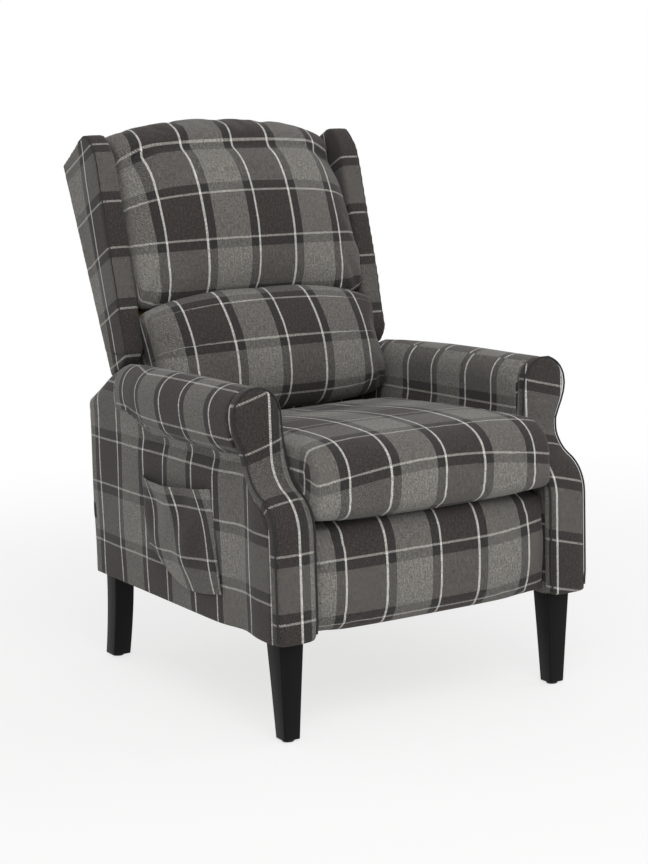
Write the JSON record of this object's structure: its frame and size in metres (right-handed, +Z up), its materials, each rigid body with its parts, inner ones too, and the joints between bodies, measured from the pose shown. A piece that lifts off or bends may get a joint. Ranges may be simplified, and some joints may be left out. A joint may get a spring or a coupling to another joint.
{
  "type": "reclining chair",
  "caption": "Wing-back push-back reclining chair with rolled arms, crowned cushions, a swing-out footrest and tapered legs, in grey plaid fabric",
  "frame": {"origin": "on the floor, centred on the width and depth of the upright chair", "axes": "+Z is up, -Y is the front of the chair, +X is the right side as seen by someone facing it"},
  "size_m": [0.678, 0.84, 1.0259],
  "materials": {
    "plaid_fabric": "woven twill in a grey, charcoal and cream window-pane plaid",
    "black_wood": "black satin lacquer",
    "frame_wood": "bare sawn hardwood",
    "plywood": "bare plywood",
    "zinc_steel": "zinc plated",
    "black_steel": "black powder coat",
    "clip_plastic": "moulded nylon",
    "webbing": "woven elastic",
    "tab_ribbon": "plain black ribbon"
  },
  "bodies": {
    "frame": {"left_arm_facing": "plaid_fabric", "right_arm_facing": "plaid_fabric", "left_arm_roll": "plaid_fabric", "right_arm_roll": "plaid_fabric", "left_arm_sill": "frame_wood", "right_arm_sill": "frame_wood", "left_arm_board": "plywood", "right_arm_board": "plywood", "left_arm_pad": "plaid_fabric", "right_arm_pad": "plaid_fabric", "left_front_leg": "black_wood", "right_front_leg": "black_wood", "left_rear_leg": "black_wood", "right_rear_leg": "black_wood", "leg_bolts": "zinc_steel", "leg_glides": "clip_plastic", "front_stretcher": "frame_wood", "rear_stretcher": "frame_wood", "rear_panel": "plaid_fabric", "corner_blocks": "frame_wood", "base_plates": "black_steel", "base_pins": "zinc_steel", "base_bolts": "zinc_steel", "side_pocket": "plaid_fabric", "seam_tab": "tab_ribbon"},
    "front_swing": {"front_swing_links": "black_steel"},
    "rear_swing": {"rear_swing_links": "black_steel"},
    "seat": {"left_seat_rail": "frame_wood", "right_seat_rail": "frame_wood", "seat_front_rail": "frame_wood", "seat_rear_rail": "frame_wood", "seat_springs": "zinc_steel", "spring_clips": "clip_plastic", "seat_plates": "black_steel", "seat_pins": "zinc_steel", "seat_cushion": "plaid_fabric"},
    "back": {"left_back_stile": "frame_wood", "right_back_stile": "frame_wood", "left_wing_board": "plywood", "right_wing_board": "plywood", "left_wing": "plaid_fabric", "right_wing": "plaid_fabric", "back_top_rail": "frame_wood", "back_low_rail": "frame_wood", "back_webbing": "webbing", "back_shell": "plaid_fabric", "back_brackets": "black_steel", "lumbar_pillow": "plaid_fabric", "head_pillow": "plaid_fabric"},
    "first_link": {"first_links": "black_steel"},
    "second_link": {"second_links": "black_steel", "second_link_pins": "zinc_steel", "cross_tube": "black_steel"},
    "third_link": {"third_links": "black_steel", "third_link_pins": "zinc_steel"},
    "fourth_link": {"fourth_links": "black_steel", "fourth_link_pins": "zinc_steel"},
    "footrest": {"footrest_brackets": "black_steel", "footrest_board": "plywood", "footrest_pad": "plaid_fabric"}
  },
  "joints": [
    {"name": "recline", "type": "hinge", "parent": "seat", "child": "back", "pos_m": [0, 0.18106, 0.42], "axis": [-1, 0, 0], "range_deg": [0, 30]},
    {"name": "front_swing_turn", "type": "hinge", "parent": "frame", "child": "front_swing", "pos_m": [0, -0.02494, 0.226], "axis": [1, 0, 0], "range_deg": [0, 40.01]},
    {"name": "seat_level", "type": "hinge", "parent": "front_swing", "child": "seat", "pos_m": [0, -0.001, 0.29178], "axis": [-1, 0, 0], "range_deg": [0, 40.01]},
    {"name": "rear_swing_turn", "type": "hinge", "parent": "frame", "child": "rear_swing", "pos_m": [0, 0.09506, 0.226], "axis": [1, 0, 0], "range_deg": [0, 40.01]},
    {"name": "second_link_turn", "type": "hinge", "parent": "seat", "child": "second_link", "pos_m": [0, -0.30494, 0.32457], "axis": [-1, 0, 0], "range_deg": [0, 106.74]},
    {"name": "first_link_turn", "type": "hinge", "parent": "seat", "child": "first_link", "pos_m": [0, -0.27001, 0.325], "axis": [-1, 0, 0], "range_deg": [0, 107.06]},
    {"name": "third_link_turn", "type": "hinge", "parent": "second_link", "child": "third_link", "pos_m": [0, -0.16839, 0.22386], "axis": [1, 0, 0], "range_deg": [0, 108.89]},
    {"name": "fourth_link_turn", "type": "hinge", "parent": "second_link", "child": "fourth_link", "pos_m": [0, -0.13993, 0.20988], "axis": [1, 0, 0], "range_deg": [0, 111.22]},
    {"name": "footrest_turn", "type": "hinge", "parent": "third_link", "child": "footrest", "pos_m": [0, -0.30939, 0.32698], "axis": [-1, 0, 0], "range_deg": [0, 94.97]}
  ],
  "couplings": [
    {"joint": "front_swing_turn", "follows": "recline", "ratio": 1.3333},
    {"joint": "seat_level", "follows": "recline", "ratio": 1.3333},
    {"joint": "rear_swing_turn", "follows": "recline", "ratio": 1.3333},
    {"joint": "second_link_turn", "follows": "recline", "ratio": 3.5577},
    {"joint": "first_link_turn", "follows": "recline", "ratio": 3.5683},
    {"joint": "third_link_turn", "follows": "recline", "ratio": 3.6293},
    {"joint": "fourth_link_turn", "follows": "recline", "ratio": 3.707},
    {"joint": "footrest_turn", "follows": "recline", "ratio": 3.1653}
  ]
}
